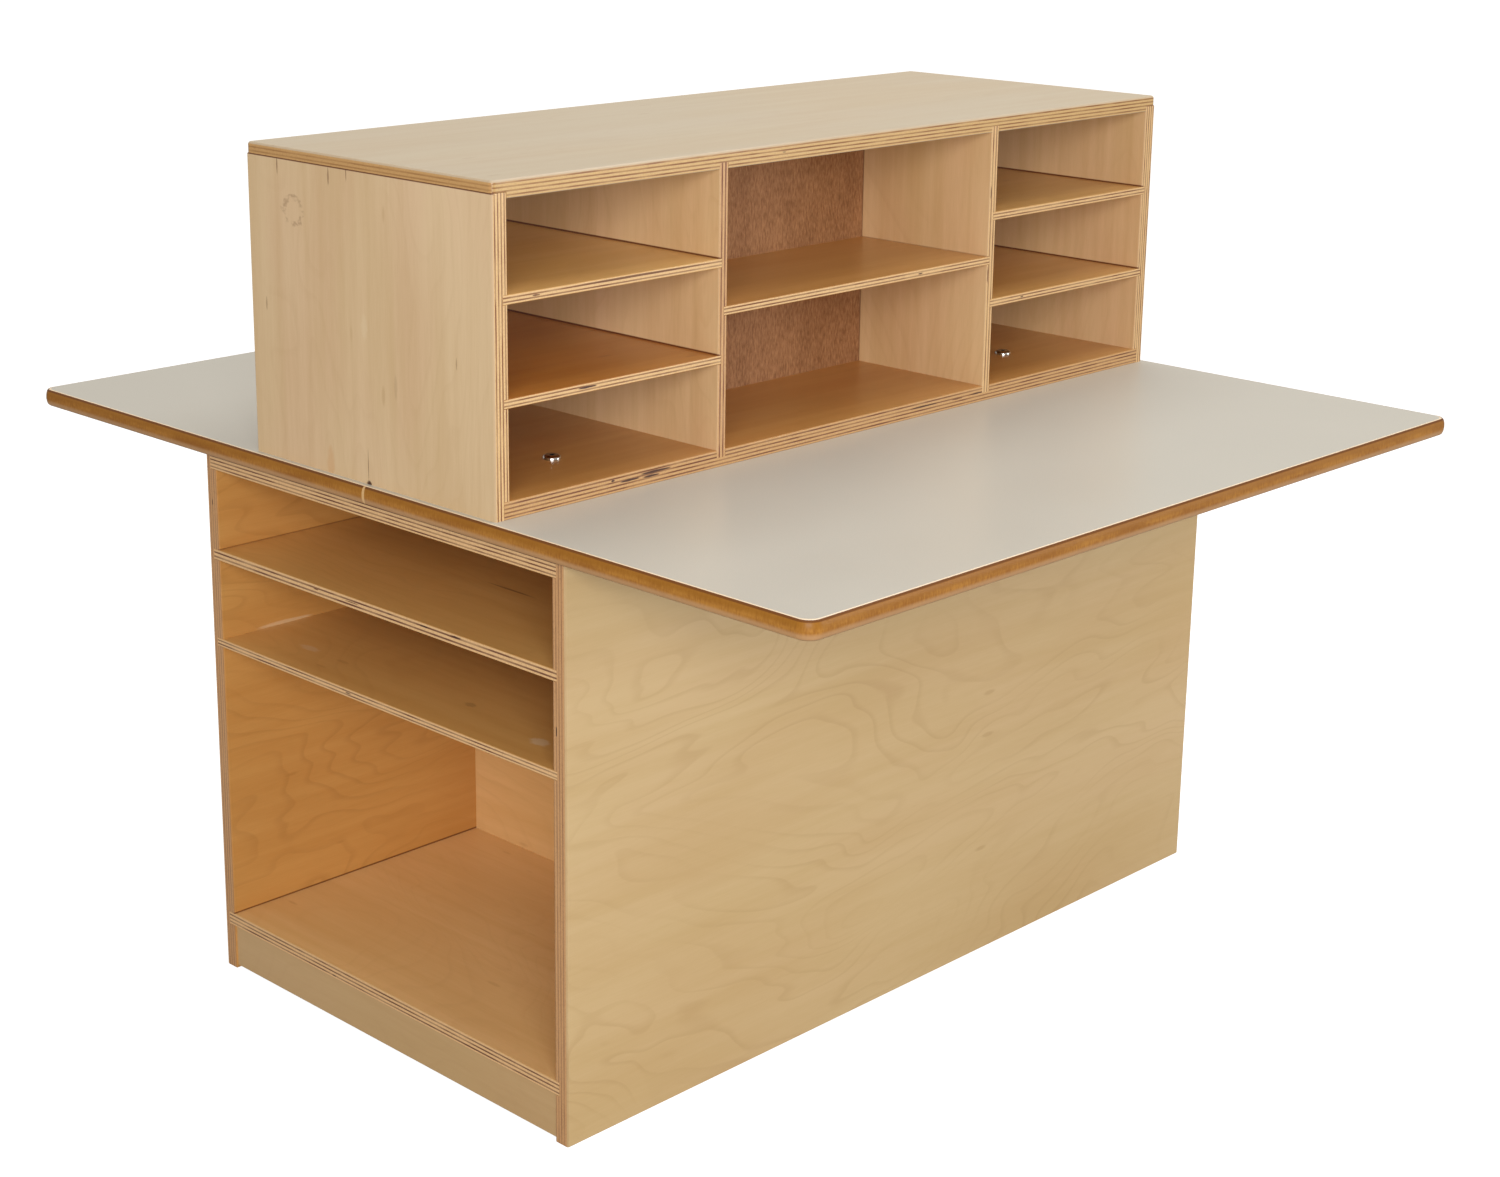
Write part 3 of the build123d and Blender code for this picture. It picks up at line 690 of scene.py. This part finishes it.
steel = {
    "bright": display(214, 212, 208),
    "dull": display(150, 148, 142),
    "zinc": display(176, 176, 170),
    "tarnishScale": 350.0,
    "chromeRoughness": 0.12,
    "zincRoughness": 0.35,
    "tarnishRoughness": 0.15,      # added where the tarnish is thickest
}


def steelMaterial(name, bright, roughness, *names):
    material, tree, shader = newMaterial(name)
    place = put(tree, "TexCoord").outputs["Object"]
    tarnish = noise(tree, place, 0.0, detail=3.0, scale=steel["tarnishScale"])
    color = tint(tree, ramp(tree, tarnish, 0.4, 0.7), bright, steel["dull"])
    rough = ramp(tree, tarnish, 0.3, 0.8, roughness, roughness + steel["tarnishRoughness"])
    tree.links.new(color, shader.inputs["Base Color"])
    tree.links.new(rough, shader.inputs["Roughness"])
    shader.inputs["Metallic"].default_value = 1.0
    give(material, *names)


steelMaterial("bolt_chrome", steel["bright"], steel["chromeRoughness"], "hutch_bolts")
steelMaterial("zinc_steel", steel["zinc"], steel["zincRoughness"], "hutch_bolt_nuts", "worktop_screws")
print("fasteners done")

# ---- floor, light and camera ----

studio = {
    "floor": 60.0,
    "floorColor": (0.42, 0.42, 0.42, 1.0),
    "floorRoughness": 0.8,
    "floorGlow": 0.9,         # only the camera sees it, so that the floor is pale but throws little light up
    "world": {"diffuse": 0.42, "glossy": 0.5, "camera": 1.0},
    "worldTint": (1.0, 0.93, 0.84, 1.0),      # bounced light in a warm room
    "lampTint": (1.0, 1.03, 1.07),
    "lamps": {
        "keyLight": {"place": (-3.3, -3.2, 1.75), "aim": (0, 0, 0.6), "size": (2.4, 1.8), "power": 150},
        "rightLight": {"place": (2.4, -3.6, 1.25), "aim": (0.2, 0, 0.55), "size": (1.6, 1.6), "power": 40},
        "topLight": {"place": (0.7, 0.0, 3.3), "aim": (0.2, 0, 0.8), "size": (3.0, 3.0), "power": 51},
    },
    "camera": Vector((-2.057, -1.970, 1.300)),
    "azimuth": math.radians(-45.0),
    "elevation": math.radians(15.12),
    "roll": math.radians(0.386),
    "lens": 60.8,
    "shift": (0.0466, -0.0695),
}


def makeFloor():
    half = studio["floor"] / 2
    mesh = bpy.data.meshes.new("floor")
    corners = [(-half, -half, 0), (half, -half, 0), (half, half, 0), (-half, half, 0)]
    mesh.from_pydata(corners, [], [(0, 1, 2, 3)])
    floor = bpy.data.objects.new("floor", mesh)
    bpy.context.scene.collection.objects.link(floor)
    material, tree, shader = newMaterial("floor")
    shader.inputs["Base Color"].default_value = studio["floorColor"]
    shader.inputs["Roughness"].default_value = studio["floorRoughness"]
    shader.inputs["Emission Color"].default_value = (1, 1, 1, 1)
    seen = put(tree, "LightPath").outputs["Is Camera Ray"]
    tree.links.new(sums(tree, "MULTIPLY", seen, studio["floorGlow"]), shader.inputs["Emission Strength"])
    mesh.materials.append(material)


def softbox(name, place, aim, size, power):
    light = bpy.data.lights.new(name, "AREA")
    light.shape = "RECTANGLE"
    light.size, light.size_y = size
    light.energy = power
    light.color = studio["lampTint"]
    lamp = bpy.data.objects.new(name, light)
    lamp.location = place
    lamp.rotation_euler = (Vector(aim) - Vector(place)).to_track_quat("-Z", "Y").to_euler()
    bpy.context.scene.collection.objects.link(lamp)


def makeCamera():
    azimuth, elevation, roll = studio["azimuth"], studio["elevation"], studio["roll"]
    right = Vector((math.cos(azimuth), math.sin(azimuth), 0))
    ahead = Vector((-math.sin(azimuth) * math.cos(elevation), math.cos(azimuth) * math.cos(elevation),
                    -math.sin(elevation)))
    up = right.cross(ahead)
    sideways = right * math.cos(roll) + up * math.sin(roll)
    upwards = up * math.cos(roll) - right * math.sin(roll)
    camera = bpy.data.objects.new("camera", bpy.data.cameras.new("camera"))
    camera.data.sensor_width = 36.0
    camera.data.lens = studio["lens"]
    camera.data.shift_x, camera.data.shift_y = studio["shift"]
    turn = Matrix((sideways, upwards, -ahead)).transposed()
    camera.matrix_world = Matrix.Translation(studio["camera"]) @ turn.to_4x4()
    bpy.context.scene.collection.objects.link(camera)
    bpy.context.scene.camera = camera


def makeWorld():
    # the camera sees plain white, while the light that falls on the object is lower and warmer
    world = bpy.data.worlds.new("studio")
    world.use_nodes = True
    sky = world.node_tree
    diffuse, glossy, plain = (studio["world"][kind] for kind in ("diffuse", "glossy", "camera"))
    ray = put(sky, "LightPath").outputs
    glow = sums(sky, "MULTIPLY_ADD", ray["Is Camera Ray"], plain - diffuse, diffuse)
    glow = sums(sky, "MULTIPLY_ADD", ray["Is Glossy Ray"], glossy - diffuse, glow)
    color = tint(sky, ray["Is Camera Ray"], studio["worldTint"], (1, 1, 1, 1))
    sky.links.new(color, sky.nodes["Background"].inputs["Color"])
    sky.links.new(glow, sky.nodes["Background"].inputs["Strength"])
    bpy.context.scene.world = world


makeFloor()
for name, lamp in studio["lamps"].items():
    softbox(name, **lamp)
makeWorld()
bpy.context.scene.view_settings.view_transform = "Standard"
makeCamera()
print("studio done")
